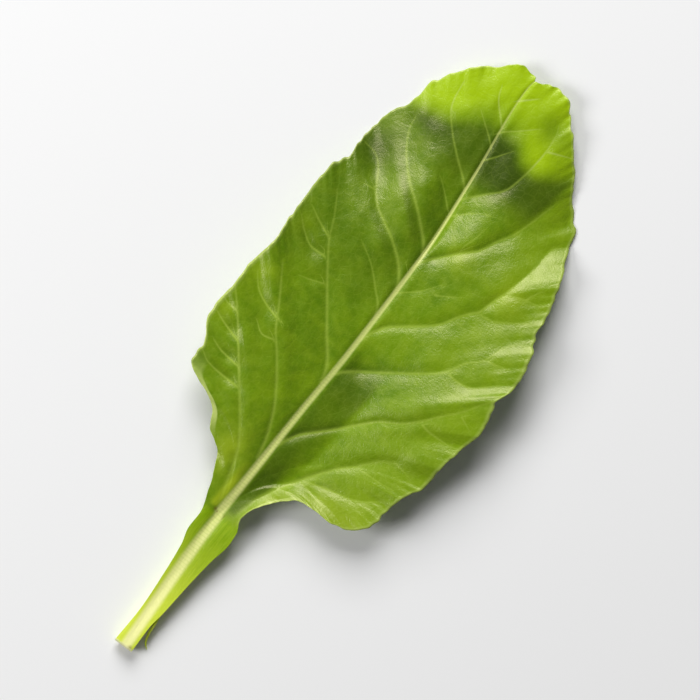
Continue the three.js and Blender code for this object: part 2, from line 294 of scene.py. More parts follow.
RIGHT_HALF = Half(
    margin=Along((
        (0, 3.0, 0, 0), (8, 3.0, 8, 0), (14, 3.8, 14, 0), (26, 5.0, 26, 0), (34, 6.2, 35, 0),
        (38, 7.4, 41.5, 0), (40, 7.1, 45.6, 0), (41.5, 5.6, 49.4, 0), (42.6, 8, 55.4, 0),
        (43.6, 12.3, 60.3, -0.4), (44.4, 17, 63.5, 0.2), (45.3, 24, 63.4, 0.4), (46.1, 30, 64.1, -0.4),
        (47, 35.3, 68, 0.3), (48.2, 37.8, 74, -0.5), (49.3, 38.6, 79.4, 0), (51, 42, 87, -0.3),
        (57, 43.2, 96, 0.4), (64, 45.5, 105, -0.4), (69, 46.3, 111, 0.1), (75, 44.4, 118.6, 0.5),
        (83, 46.2, 125, -0.3), (91, 45.3, 133, 0), (99, 42.8, 140, 0.4), (107, 41.4, 149, -0.4),
        (115, 40, 155.5, 0.3), (124, 36.5, 163.5, -1.2), (131, 33, 173, -2.6), (138, 27, 179.6, -1.0),
        (149, 22, 187, -0.3), (159, 16, 194, 0.4), (168, 12.5, 198.4, -0.3), (176, 9.4, 200.5, 0.3),
        (184, 5.4, 201.5, -0.3), (192, 3.2, 200.7, 0.2), (199.3, 1.2, 199.9, 0),
    )),
    bend=Along((
        (0, 1.4, 0), (38, 3.2, 40), (41.5, 1.8, 47.5), (42.6, 2.0, 54), (43.6, 2.6, 60.5),
        (44.4, 3.3, 66), (45.3, 4.2, 71), (46.1, 4.9, 74), (47, 5.4, 76), (51, 6.2, 80), (64, 9, 87.5),
        (75, 12, 92), (99, 14.5, 115.5), (115, 13.5, 132), (138, 13, 153), (159, 9, 172),
        (176, 4.5, 185.5), (199.3, 0.3, 199.5),
    )),
    lie=Along((
        (0, 3.7), (34, 5.4), (41.5, 7.0), (43.6, 7.4), (45.3, 8.2), (49, 9.4), (57, 11.2), (75, 12.8),
        (91, 11.0), (99, 9.0), (107, 7.4), (115, 6.4), (123, 4.6), (129, 2.8), (134, 2.4), (141, 2.6),
        (150, 3.5), (161, 4.0), (199.3, 4.5),
    )),
    channel_depth=Along((
        (0, 0.4), (34, 0.6), (42, 0.9), (52, 0.1), (90, 0.2), (105, 0.7), (140, 0.9), (200, 0.3),
    )),
    fall=Along((
        (0, 0), (46, 0), (54, 5.0), (72, 7.0), (88, 6.4), (100, 3.4), (112, 0.6), (125, 0), (138, -0.8),
        (149, -2.6), (160, -2.2), (174, 0), (200, 0),
    )),
    settle=Along(((0, 0), (199.3, 0))),
)

VEINS = (
    Vein(Rank.MAIN, (
        (-1.9, 48.5), (-4.1, 56.3), (-6.6, 64.4), (-9.5, 69.3), (-14.6, 76.2), (-23.2, 87.4),
        (-30.2, 96.4), (-35.1, 102),
    ), 0.4),
    Vein(Rank.BRANCH, ((-17, 79), (-23.9, 79.2), (-28.6, 79.9), (-31.2, 81.5)), 1.8),
    Vein(Rank.BRANCH, ((-20.5, 83.8), (-27.1, 84.6), (-31, 86)), 1.6),
    Vein(Rank.BRANCH, ((-25.1, 89.6), (-31.2, 91.5), (-34.8, 93)), 1.9),
    Vein(Rank.BRANCH, ((-30.2, 96.4), (-33.6, 96.6), (-35.6, 97.4)), 1.3),
    Vein(Rank.MAIN, (
        (-0.9, 66), (-1.9, 71), (-5.1, 79.6), (-7.2, 83.4), (-14.5, 93.9), (-18.1, 98.3), (-22.3, 105.8),
        (-28, 115),
    ), 0.5),
    Vein(Rank.BRANCH, ((-18.9, 101.2), (-24.2, 102.6), (-28.6, 104.7), (-32.4, 108.9)), 1.5),
    Vein(Rank.TWIG, ((-16.9, 96), (-20.4, 95.2), (-24.5, 97.8)), 1.6),
    Vein(Rank.MAIN, (
        (0.9, 94), (0, 97.6), (-6.5, 106.9), (-17.7, 122.6), (-21.7, 128.9), (-23.5, 133.2),
        (-27.6, 140.7),
    ), 0.5),
    Vein(Rank.BRANCH, ((-21.9, 128.7), (-26.7, 130.8), (-30.8, 133.1)), 1.6),
    Vein(Rank.BRANCH, ((-18.8, 123.6), (-23.7, 123.5), (-28.4, 126), (-32, 129.4)), 1.8),
    Vein(Rank.TWIG, ((-14.3, 117.5), (-19, 115.8), (-22, 115)), 1.8),
    Vein(Rank.FAINT, ((2, 118.5), (1, 121.2), (-2, 124.3), (-7.9, 129.9), (-13.7, 133.4))),
    Vein(Rank.MAIN, (
        (2.6, 127), (2.1, 129.2), (-1, 133.9), (-4.2, 136.8), (-7.9, 139.4), (-12, 141.7), (-15.9, 144.1),
        (-18.9, 147.2), (-22.5, 153.4), (-25.9, 156.1), (-29.5, 156.7),
    ), 0.7),
    Vein(Rank.TWIG, ((-19, 147.5), (-23.6, 146.9))),
    Vein(Rank.MAIN, (
        (2.4, 140.8), (1.7, 142.2), (-2.7, 146.8), (-7, 150.7), (-12.8, 155.2), (-17.7, 160.4), (-20.1, 164),
        (-21.9, 167.9), (-22.4, 171.1),
    ), 0.6),
    Vein(Rank.TWIG, ((1, 155), (-3.1, 158.8), (-6.6, 161.6))),
    Vein(Rank.FAINT, (
        (1.2, 162.5), (0.2, 163.8), (-6.1, 169), (-11.4, 173.9), (-16, 180.1), (-16.8, 184), (-17.1, 187.3),
    )),
    Vein(Rank.TWIG, ((0.2, 176.6), (-1.1, 178), (-5.8, 181.6), (-8.2, 183.4))),
    Vein(Rank.TWIG, ((-1, 183.4), (-1.9, 184.4), (-6.6, 189.8), (-7.6, 192.6)), 1.2),
    Vein(Rank.CREASE, ((5, 48), (7, 56), (9.4, 62), (12.3, 76), (14.2, 88), (15.6, 106)), 0.6),
    Vein(Rank.CREASE, ((4.6, 100.5), (12.7, 106.2), (22, 112.7), (30, 121)), 1.15),
    Vein(Rank.CREASE, ((6.3, 117.4), (18.3, 127.3), (25.2, 136.3)), 0.4),
    Vein(Rank.CREASE, ((14, 150), (18, 157), (21, 165), (24, 176)), 0.5),
    Vein(Rank.CREASE, ((-19, 148), (-24, 154.5), (-31, 157.5)), 0.5),
    Vein(Rank.BROAD, (
        (2.4, 44.6), (4.4, 50.6), (6, 56), (8.6, 61.5), (12.7, 68), (16.1, 73), (19.8, 77.5), (23.3, 80.8),
        (27.8, 85.9), (31.4, 88.2),
    ), 1.2),
    Vein(Rank.TWIG, ((31.4, 88.2), (33.3, 87.9), (37.5, 87))),
    Vein(Rank.TWIG, ((25.5, 80.7), (30.9, 80.9), (35.5, 81.6))),
    Vein(Rank.BRANCH, ((12.7, 68), (17, 67), (20.7, 65.8))),
    Vein(Rank.BRANCH, ((14, 68.6), (19.7, 70.4), (28.6, 72.7), (35.7, 77.6))),
    Vein(Rank.MAIN, (
        (1.8, 72.8), (2.5, 74.6), (4.9, 78.5), (9, 82.6), (13, 86.7), (16.9, 91), (21, 95), (25.9, 97.9),
        (30.1, 101.8), (33.9, 106.3), (37.8, 110.6), (41.2, 115.6), (43.2, 118.5),
    )),
    Vein(Rank.BRANCH, ((30.1, 101.8), (34.3, 100.9), (39.6, 101), (44.2, 101.9))),
    Vein(Rank.TWIG, ((38.5, 110), (43, 108))),
    Vein(Rank.MAIN, (
        (2.5, 98), (4.6, 100.5), (12.7, 106.2), (22, 112.7), (27.9, 117.8), (30.6, 122.6), (34.7, 126.7),
        (36.4, 131.5), (39, 135.2), (42.8, 137.3),
    ), 0.6),
    Vein(Rank.BRANCH, ((27.9, 117.8), (31.2, 117.1), (34.5, 117.4), (41.8, 122.8)), 1.3),
    Vein(Rank.BRANCH, ((35, 127), (38, 127.4), (42, 128.8))),
    Vein(Rank.MAIN, (
        (3, 111), (4.2, 114), (6.3, 117.4), (9.5, 120.1), (18.3, 127.3), (21.6, 132.5), (25.2, 136.3),
        (29.1, 136.7), (31.7, 137.9), (37.6, 141.9),
    ), 0.8),
    Vein(Rank.BRANCH, (
        (25.2, 136.3), (25.6, 137.6), (26.9, 142.1), (28.7, 147.3), (31, 157.1), (31.5, 163.2), (35.1, 166.9),
    ), 1.3),
    Vein(Rank.BRANCH, ((26.9, 142.1), (28.5, 144.7), (32.2, 146.8), (38.2, 148.3)), 0.9),
    Vein(Rank.TWIG, ((34.2, 148.2), (35.3, 150.5), (36.5, 152.4))),
    Vein(Rank.TWIG, ((3.4, 127.5), (8.5, 132), (12.5, 137.3))),
    Vein(Rank.TWIG, ((12.5, 133.3), (15, 134.8), (18.5, 137))),
    Vein(Rank.MAIN, (
        (2.8, 136), (3.6, 138.4), (7, 142.6), (10.9, 146.9), (15, 151), (17.9, 156.7), (20.3, 160.6),
        (22.5, 167.1), (24.5, 174),
    ), 1.1),
    Vein(Rank.TWIG, ((10.6, 149), (11.8, 152.5), (13, 158))),
    Vein(Rank.TWIG, ((2.4, 154), (8.7, 159.5), (14.2, 161.7))),
    Vein(Rank.FAINT, (
        (2, 159.6), (3.3, 161.1), (7.6, 165.7), (10.6, 168.9), (11.8, 172), (13.2, 179.7), (13.6, 185.4),
        (13.2, 190.3), (12.2, 193.1),
    ), 1.2),
    Vein(Rank.TWIG, ((13.9, 185.2), (21.2, 188.1))),
    Vein(Rank.TWIG, ((0.8, 172.6), (2.3, 174.5), (6.1, 179.8))),
    Vein(Rank.TWIG, ((-0.6, 181), (0.2, 182.1), (3.9, 185.2), (8.1, 189))),
    Vein(Rank.TWIG, ((-1.3, 192), (3, 195.9))),
)


@dataclass(frozen=True)
class Stretch:
    """A stretch of the midrib with the number of rows that start on it."""

    start: float
    end: float
    rows: int


@dataclass
class Sheet:
    """The upper side worked out on its grid of rows and columns, in the leaf's own millimetres."""

    x: Array
    y: Array
    z: Array
    underside: Array
    share: Array
    across: Array
    vein_offset: Array
    vein_weight: Array


@dataclass(frozen=True)
class LeafForm:
    """The shape of the leaf, by the same sizes and rules as the solid."""

    rib_thickness: Along = Along((
        (0, 4.3), (16, 4.3), (42, 3.6), (62, 2.9), (100, 2.1), (150, 1.4), (200, 0.8),
    ))
    channel_half_width: Along = Along(((0, 2.0), (44, 2.2), (70, 1.9), (120, 1.4), (200, 0.8)))
    midrib_side: Along = Along((
        (0, 0), (38, -0.9), (56, 0.1), (84, 1.2), (105, 2.3), (140, 2.8), (165, 1.3), (196, -1.4),
        (200, -0.8),
    ))
    midrib_height: Along = Along((
        (0, 3.5), (14, 3.5), (42, 5.2), (70, 6.4), (100, 6.6), (125, 6.4), (136, 6.2), (141, 5.4),
        (149, 3.6), (154, 3.0), (160, 2.9), (167, 3.1), (178, 3.6), (190, 4.2), (200, 4.5),
    ))
    blade_thickness: float = 0.55
    margin_thickness: float = 0.3
    rib_spread: float = 1.15
    lie_power: float = 1.15
    wave_power: float = 5.0
    shoulder_rise: float = 0.7
    shoulder_reach: float = 5.0
    fall_reach: float = 10.0
    vein_start: float = 5.0
    vein_start_depth: float = 0.4
    vein_swell: float = 0.45
    vein_swell_reach: float = 2.2
    rib_clearance: float = 1.8
    blade_starts: float = 44.0
    blade_whole: float = 62.0
    ruffles: tuple[Ruffle, ...] = (
        Ruffle(0.2, 13, 0.8, 5), Ruffle(0.14, 7.3, 2.1, 8), Ruffle(0.12, 2.9, 0.4, 14),
    )
    crinkles: tuple[Bumps, ...] = (Bumps(0.6, 3.4, 11), Bumps(0.35, 1.8, 12))
    crinkle_power: int = 12
    puckers: tuple[Bumps, ...] = (Bumps(0.10, 4.6, 3), Bumps(0.05, 2.3, 5))
    left_puckering: float = 1.9
    left_folds: Bumps = Bumps(0.16, 3.4, 11)
    swells: tuple[Patch, ...] = (
        Patch(13.9, 143.4, 4.5, 4.5, 0.5), Patch(31.9, 142.4, 4.5, 4.5, 0.5),
        Patch(24.0, 154.4, 4.5, 4.5, 0.5), Patch(36.9, 92.4, 4.5, 4.5, 0.35),
        Patch(21.9, 117.4, 4.5, 4.5, 0.35),
    )
    stretches: tuple[Stretch, ...] = (
        Stretch(0, 38, 44), Stretch(38, 42, 8), Stretch(42, 51, 96), Stretch(51, 194, 180),
        Stretch(194, 199.3, 10),
    )
    left_columns: int = 66
    right_columns: int = 74
    crowding: float = 0.1

    def roots(self) -> Array:
        """The place on the midrib where each row starts."""
        parts = [np.linspace(s.start, s.end, s.rows, endpoint=False) for s in self.stretches]
        return np.concatenate([*parts, [self.stretches[-1].end]])

    def shares(self, count: int) -> Array:
        """Shares of a row's length at its columns, closer together at midrib and margin."""
        s = np.arange(1, count + 1) / count
        return s - self.crowding * np.sin(2 * np.pi * s) * (1 - 0.6 * s)

    def vein_field(self, x: Array, y: Array) -> tuple[Array, Array, Array]:
        """How each point lies to the side veins.

        Each vein is a chain of short straight pieces, and the distance to a piece is taken to the
        nearest point on it, for all points at once. The sinks of near veins are added by their cubes,
        so the blade is round between them.

        Args:
            x: places across the leaf.
            y: places along it.

        Returns:
            The sink of the blade, the offset from the nearest vein in its own half widths, with a sign
            for its side, and how pale that vein's line is there.
        """
        sink = np.zeros_like(x)
        nearest = np.full_like(x, np.inf)
        offset = np.full_like(x, 9.0)
        weight = np.zeros_like(x)
        for vein in VEINS:
            depth, reach, half_width, pale = vein.rank.value
            line = vein.line()
            away = np.full_like(x, np.inf)
            side = np.ones_like(x)
            reached = np.zeros_like(x)
            for i, ((ax, ay), (bx, by)) in enumerate(zip(line[:-1], line[1:])):
                dx, dy = bx - ax, by - ay
                px, py = x - ax, y - ay
                s = np.clip((px * dx + py * dy) / (dx * dx + dy * dy), 0, 1)
                gap = np.hypot(px - s * dx, py - s * dy)
                closer = gap < away
                away = np.where(closer, gap, away)
                side = np.where(closer, np.where(dx * py - dy * px > 0, 1, -1), side)
                reached = np.where(closer, (i + s) / (len(line) - 1), reached)
            begun = smoothstep(reached * (len(line) - 1), 0, self.vein_start)
            fade = self.vein_start_depth + (1 - self.vein_start_depth) * begun
            fade = fade * (1 - 0.5 * reached**2)
            sink += (vein.strength * depth * fade * np.exp(-np.hypot(away, 0.3) / reach)) ** 3
            if pale == 0:
                continue
            closer = away < nearest
            nearest = np.where(closer, away, nearest)
            thinner = half_width * (1 - 0.5 * reached)
            offset = np.where(closer, side * np.minimum(away / thinner, 9), offset)
            weight = np.where(closer, pale * (1 - 0.6 * reached**2), weight)
        return np.cbrt(sink), offset, weight * (1 - smoothstep(np.abs(offset), 4, 7))

    def half(self, side: Side, roots: Array) -> Sheet:
        """Works out one half of the upper side as whole arrays.

        A point lies on the quadratic curve from the midrib, round the row's bend, to the margin. Its
        height goes from the midrib's to the lie of the margin by a power of its share of the row. The
        waves of the margin, its channel, its shoulders, puckers, swells, folds and ruffles are added,
        and the sinks of the veins are taken off.

        Args:
            side: which half.
            roots: where the rows start.

        Returns:
            The sheet of that half, with the midrib as its first column.
        """
        half = LEFT_HALF if side is Side.LEFT else RIGHT_HALF
        count = self.left_columns if side is Side.LEFT else self.right_columns
        share = np.concatenate([[0.0], self.shares(count)])[None, :]
        root = roots[:, None]
        ends = np.stack([half.margin.at(roots, axis) for axis in (1, 2, 3)], axis=-1)
        steps = np.linalg.norm(np.diff(ends, axis=0), axis=1)
        length = np.concatenate([[0], np.cumsum(steps)])[:, None]
        a, b, c = (1 - share) ** 2, 2 * share * (1 - share), share**2
        x = a * self.midrib_side.at(root) + b * half.bend.at(roots, 1)[:, None] + c * ends[:, :1]
        y = a * root + b * half.bend.at(roots, 2)[:, None] + c * ends[:, 1:2]
        share = np.broadcast_to(share, x.shape)
        outwards = ends[:, :2] - np.stack([half.bend.at(roots, axis) for axis in (1, 2)], axis=-1)
        outwards /= np.linalg.norm(outwards, axis=1, keepdims=True)
        crinkle = sum(bumps.at(length, length * 0) for bumps in self.crinkles) * share**self.crinkle_power
        crinkle = crinkle * smoothstep(ends[:, 1:2], self.blade_starts, self.blade_whole)
        x, y = x + crinkle * outwards[:, :1], y + crinkle * outwards[:, 1:]

        across = x - self.midrib_side.at(y)
        from_midrib = np.abs(across)
        channel_width = self.channel_half_width.at(y)
        blade = smoothstep(y, self.blade_starts, self.blade_whole)
        inside = np.sin(np.pi * np.minimum(share, 0.999))
        rib = bell(from_midrib, self.rib_spread * channel_width)
        thinning = (self.margin_thickness - self.blade_thickness) * share**6
        sheet_thickness = self.blade_thickness + thinning
        thickness = sheet_thickness + (self.rib_thickness.at(y) - sheet_thickness) * rib
        sink, offset, weight = self.vein_field(x, y)
        thickness = thickness + blade * self.vein_swell * weight * bell(offset, self.vein_swell_reach)

        start = self.midrib_height.at(root)
        gone = share**self.lie_power
        gone = gone + half.settle.at(root) * (smoothstep(share, 0, 1) - gone)
        z = start + (half.lie.at(root) - start) * gone + ends[:, 2:3] * share**self.wave_power
        z = z + half.channel_depth.at(y) * (1 - bell(from_midrib, channel_width)) * (1 - share)
        z = z - half.fall.at(y) * (1 - bell(from_midrib, self.fall_reach)) * (1 - share)
        z = z + blade * self.shoulder_rise * inside * (1 - bell(from_midrib, self.shoulder_reach))
        z = z - blade * sink * (1 - bell(from_midrib, self.rib_clearance)) * (1 - 0.6 * share**4)
        puckering = self.left_puckering if side is Side.LEFT else 1.0
        puckering = 1 + (puckering - 1) * smoothstep(share, 0.05, 0.2)
        z = z + blade * inside * puckering * sum(bumps.at(x, y) for bumps in self.puckers)
        z = z + patches(self.swells, x, y)
        folded = smoothstep(-x, 18, 25) * bell(y - 92, 19) * (1 - share**8)
        z = z + blade * folded * self.left_folds.at(x, y)
        for ruffle in self.ruffles:
            wave = np.sin(2 * np.pi * length / ruffle.length + ruffle.start)
            z = z + blade * ruffle.height * share**ruffle.power * wave
        return Sheet(
            x=x,
            y=y,
            z=np.maximum(z, sheet_thickness),
            underside=np.maximum(z - thickness, 0),
            share=share,
            across=across,
            vein_offset=offset,
            vein_weight=weight * blade,
        )

    def sheet(self) -> Sheet:
        """Both halves of the upper side in one grid, from the left margin to the right one."""
        roots = self.roots()
        left, right = (self.half(side, roots) for side in Side)
        return Sheet(**{
            name: np.concatenate([getattr(left, name)[:, :0:-1], getattr(right, name)], axis=1)
            for name in vars(left)
        })


@dataclass
class Nodes:
    """Adds shader nodes to a material and joins them up."""

    material: bpy.types.Material

    def add(self, kind: str, inputs: dict | None = None, **settings: object) -> bpy.types.Node:
        """A new node.

        Args:
            kind: the node's type name without its ShaderNode start.
            inputs: values or output sockets for its inputs, by name or number.
            settings: its own settings.

        Returns:
            The node.
        """
        node = self.material.node_tree.nodes.new("ShaderNode" + kind)
        for name, value in settings.items():
            setattr(node, name, value)
        for name, value in (inputs or {}).items():
            if isinstance(value, bpy.types.NodeSocket):
                self.material.node_tree.links.new(value, node.inputs[name])
            else:
                node.inputs[name].default_value = value
        return node

    def field(self, name: str) -> bpy.types.NodeSocket:
        """One of the piece's own number fields."""
        return self.add("Attribute", attribute_name=name).outputs["Fac"]

    def math(self, operation: str, *values: object, clamp: bool = False) -> bpy.types.NodeSocket:
        """A sum, product or other operation on numbers or sockets."""
        node = self.add("Math", dict(enumerate(values)), operation=operation, use_clamp=clamp)
        return node.outputs[0]

    def mix(self, share: object, first: object, second: object, blend: str = "MIX") -> bpy.types.NodeSocket:
        """A mix of two colours by a share."""
        node = self.add("Mix", data_type="RGBA", blend_type=blend)
        for name, value in (("Factor_Float", share), ("A_Color", first), ("B_Color", second)):
            socket = next(s for s in node.inputs if s.identifier == name)
            if isinstance(value, bpy.types.NodeSocket):
                self.material.node_tree.links.new(value, socket)
            else:
                socket.default_value = (*value, 1.0) if isinstance(value, tuple) else value
        return next(s for s in node.outputs if s.identifier == "Result_Color")

    def noise(self, scale: float, detail: float = 3.0, rough: float = 0.55) -> bpy.types.NodeSocket:
        """Soft noise in the object's own coordinates, with its scale in cells a metre."""
        place = self.add("TexCoord").outputs["Object"]
        values = {"Vector": place, "Scale": scale, "Detail": detail, "Roughness": rough}
        return self.add("TexNoise", values).outputs[0]

    def spread(self, value: object, low: float, high: float) -> bpy.types.NodeSocket:
        """Maps a number from between low and high to between 0 and 1, smoothly."""
        values = {"Value": value, "From Min": low, "From Max": high}
        return self.add("MapRange", values, interpolation_type="SMOOTHSTEP").outputs[0]

    def line(self, offset: object, sharpness: float) -> bpy.types.NodeSocket:
        """A line that is 1 where the offset is 0 and falls off as a bell."""
        square = self.math("MULTIPLY", offset, offset)
        return self.math("EXPONENT", self.math("MULTIPLY", square, -sharpness))


@dataclass(frozen=True)
class LeafFinish:
    """The finish of one side of the leaf."""

    name: str
    dark: Colour
    middle: Colour
    # Lighter green, for the grain and mottle and also for painted highlight on lit slopes and sheen.
    light: Colour
    # Dark green of painted shade, laid where the blade would lie in shadow.
    painted_shade: Colour
    # Yellow-green for yellower places, also laid as painted highlight on a few lit patches.
    gold_and_highlight: Colour
    vein: Colour
    rib: Colour
    rib_pale: Colour
    wing: Colour
    wing_pale: Colour
    # Bright yellow-green of painted light shining through the tip from behind.
    tip: Colour
    # Pale edge colour: painted highlight on the margin and the right base roll, the pale left base lip, and
    # backlit tip veins.
    rim: Colour
    roughness: float
    vein_share: float
    net_share: float
    grain_share: float = 0.22
    mottle_share: float = 0.2
    streak_share: float = 0.18
    ridge_share: float = 0.17
    ridge_spacing: float = 0.00105
    mark: Colour = srgb(112, 96, 30)
    cut: Colour = srgb(240, 238, 196)

    def stalk_colour(self, nodes: Nodes, colour: object, place: object) -> bpy.types.NodeSocket:
        """Lays the stalk's and the midrib's colours over the blade's.

        The wings are yellow-green and bleach towards the cut end, with streaks along them. The midrib's
        pale band lies over them with fine ridges across it, and small brown marks and the cut over all.

        Args:
            nodes: the material's nodes.
            colour: the blade's colour.
            place: the place on the piece.

        Returns:
            The colour with stalk and midrib.
        """
        bleach = nodes.field("bleach")
        along = nodes.add("SeparateXYZ", {0: place}).outputs[1]
        streak_y = nodes.math("MULTIPLY", along, 60.0)
        streak_place = nodes.add("CombineXYZ", {0: nodes.field("across"), 1: streak_y}).outputs[0]
        streaks = nodes.add("TexNoise", {"Vector": streak_place, "Scale": 2.2, "Detail": 3.0})
        streaks = nodes.spread(streaks.outputs[0], 0.35, 0.65)
        wing = nodes.mix(bleach, self.wing, self.wing_pale)
        wing = nodes.mix(nodes.math("MULTIPLY", streaks, self.streak_share), wing, self.wing_pale)
        colour = nodes.mix(nodes.field("wing"), colour, wing)
        waver = nodes.math("MULTIPLY", nodes.noise(500, 2), 3.5)
        turns = nodes.math("MULTIPLY_ADD", along, 2 * math.pi / self.ridge_spacing, waver)
        ridges = nodes.math("SINE", turns)
        ridges = nodes.math("MULTIPLY", nodes.spread(ridges, -0.2, 1.0), self.ridge_share)
        rib = nodes.mix(bleach, self.rib, self.rib_pale)
        rib = nodes.mix(nodes.math("MULTIPLY", ridges, nodes.field("ridged")), rib, self.wing)
        offset = nodes.math("ABSOLUTE", nodes.field("rib_offset"))
        band = nodes.math("SUBTRACT", 1.0, nodes.spread(offset, 0.45, 1.25))
        colour = nodes.mix(nodes.math("MULTIPLY", band, nodes.field("rib")), colour, rib)
        colour = nodes.mix(nodes.math("MULTIPLY", nodes.field("mark"), 0.8), colour, self.mark)
        return nodes.mix(nodes.field("cut"), colour, self.cut)

    def material(self) -> bpy.types.Material:
        """Builds the finish as a node material.

        Greens change over patches of soft noise, with painted shade in the deeper places, yellower places,
        painted highlights, veins, a margin edge that is partly painted highlight and a tip painted as if lit
        through from behind, all by the piece's own fields, a fine net of veins and a finer grain.
        """
        material = bpy.data.materials.new(self.name)
        material.use_nodes = True
        material.node_tree.nodes.clear()
        nodes = Nodes(material)
        place = nodes.add("TexCoord").outputs["Object"]
        patches = nodes.spread(nodes.noise(55, 4, 0.6), 0.35, 0.68)
        fine = nodes.spread(nodes.noise(420, 4, 0.65), 0.3, 0.7)
        warp = nodes.add("TexNoise", {"Vector": place, "Scale": 160.0, "Detail": 2.0}).outputs["Color"]
        moved = nodes.add(
            "VectorMath", {0: warp, 1: (0.0022, 0.0022, 0.0022), 2: place}, operation="MULTIPLY_ADD",
        ).outputs[0]
        net = nodes.add(
            "TexVoronoi", {"Vector": moved, "Scale": 480.0, "Randomness": 0.9},
            feature="DISTANCE_TO_EDGE", voronoi_dimensions="3D",
        ).outputs["Distance"]
        net_line = nodes.math("SUBTRACT", 1.0, nodes.spread(net, 0.0, 0.11))
        vein = nodes.line(nodes.field("vein_offset"), 0.8)
        vein = nodes.math("MULTIPLY", vein, nodes.field("vein_weight"))

        colour = nodes.mix(patches, self.dark, self.middle)
        # Painted highlight: lighter where slopes catch the light and sheen.
        colour = nodes.mix(nodes.field("light"), colour, self.light)
        colour = nodes.mix(nodes.math("MULTIPLY", fine, self.grain_share), colour, self.light)
        mottle = nodes.spread(nodes.noise(190, 3, 0.6), 0.4, 0.66)
        colour = nodes.mix(nodes.math("MULTIPLY", mottle, self.mottle_share), colour, self.light)
        # Partly painted highlight: yellower places and a few patches lit as if by sheen.
        colour = nodes.mix(nodes.field("gold_and_highlight"), colour, self.gold_and_highlight)
        # Painted shade: darker where the blade would lie in shadow.
        colour = nodes.mix(nodes.field("painted_shade"), colour, self.painted_shade)
        # Painted light: the tip glows as if lit through from behind.
        colour = nodes.mix(nodes.field("tip"), colour, self.tip)
        colour = nodes.mix(nodes.math("MULTIPLY", net_line, self.net_share), colour, self.vein)
        colour = nodes.mix(nodes.math("MULTIPLY", vein, self.vein_share), colour, self.vein)
        # Painted light: the veins in the tip look pale as if lit from behind.
        backlit_vein = nodes.math("MULTIPLY", nodes.math("MULTIPLY", vein, nodes.field("tip")), 0.6)
        colour = nodes.mix(backlit_vein, colour, self.rim)
        # Partly painted highlight on the margin's edge and the right base's roll.
        colour = nodes.mix(nodes.field("rim"), colour, self.rim)
        colour = self.stalk_colour(nodes, colour, place)

        rough = nodes.math("MULTIPLY_ADD", fine, 0.1, self.roughness)
        grain = nodes.math("MULTIPLY_ADD", nodes.noise(2100, 2, 0.6), 0.5, nodes.noise(800, 3, 0.6))
        height = nodes.math("MULTIPLY_ADD", net_line, -0.14, grain)
        bump = nodes.add("Bump", {"Height": height, "Strength": 0.30, "Distance": 0.0003}).outputs[0]
        shader = nodes.add("BsdfPrincipled", {
            "Base Color": colour,
            "Roughness": rough,
            "Normal": bump,
            "Specular IOR Level": 0.72,
            "Specular Tint": (1.0, 0.88, 0.6, 1.0),
        })
        output = nodes.add("OutputMaterial")
        material.node_tree.links.new(shader.outputs[0], output.inputs["Surface"])
        return material


# The upper side's colours; some of them are painted shade, painted highlight and the tip's painted backlight.
UPPER = LeafFinish(
    name="leaf_upper_side",
    dark=srgb(86, 124, 0),
    middle=srgb(106, 142, 0),
    light=srgb(140, 168, 14),
    painted_shade=srgb(50, 74, 0),
    gold_and_highlight=srgb(166, 186, 30),
    vein=srgb(166, 190, 70),
    rib=srgb(208, 214, 128),
    rib_pale=srgb(240, 240, 160),
    wing=srgb(128, 166, 0),
    wing_pale=srgb(208, 224, 60),
    tip=srgb(160, 194, 0),
    rim=srgb(196, 212, 116),
    roughness=0.29,
    vein_share=0.46,
    net_share=0.05,
)
# The underside's colours, laid by the same fields of painted shade, highlight and backlight as the upper
# side.
UNDER = LeafFinish(
    name="leaf_underside",
    dark=srgb(110, 142, 52),
    middle=srgb(134, 164, 74),
    light=srgb(164, 190, 104),
    painted_shade=srgb(104, 136, 50),
    gold_and_highlight=srgb(172, 194, 88),
    vein=srgb(204, 216, 150),
    rib=srgb(216, 222, 160),
    rib_pale=srgb(238, 240, 190),
    wing=srgb(168, 198, 70),
    wing_pale=srgb(206, 222, 110),
    tip=srgb(178, 204, 70),
    rim=srgb(186, 208, 110),
    roughness=0.58,
    vein_share=0.8,
    net_share=0.3,
)


def new_piece(
    name: str, points: Array, faces: list, fields: dict[str, Array], finishes: list[bpy.types.Material],
    kinds: Array,
) -> bpy.types.Object:
    """Puts a surface that has been worked out into the scene as a smooth piece.

    Args:
        name: the piece's name.
        points: its points, in metres.
        faces: the numbers of each face's points.
        fields: its number fields, one number for each point.
        finishes: its finishes.
        kinds: which finish each face has.

    Returns:
        The piece.
    """
    mesh = bpy.data.meshes.new(name)
    mesh.from_pydata(points.tolist(), [], faces)
    mesh.update()
    for field_name, values in fields.items():
        layer = mesh.attributes.new(field_name, "FLOAT", "POINT")
        layer.data.foreach_set("value", values.astype(np.float32))
    for finish in finishes:
        mesh.materials.append(finish)
    mesh.polygons.foreach_set("material_index", kinds)
    mesh.polygons.foreach_set("use_smooth", np.ones(len(faces), bool))
    piece = bpy.data.objects.new(name, mesh)
    bpy.context.collection.objects.link(piece)
    return piece


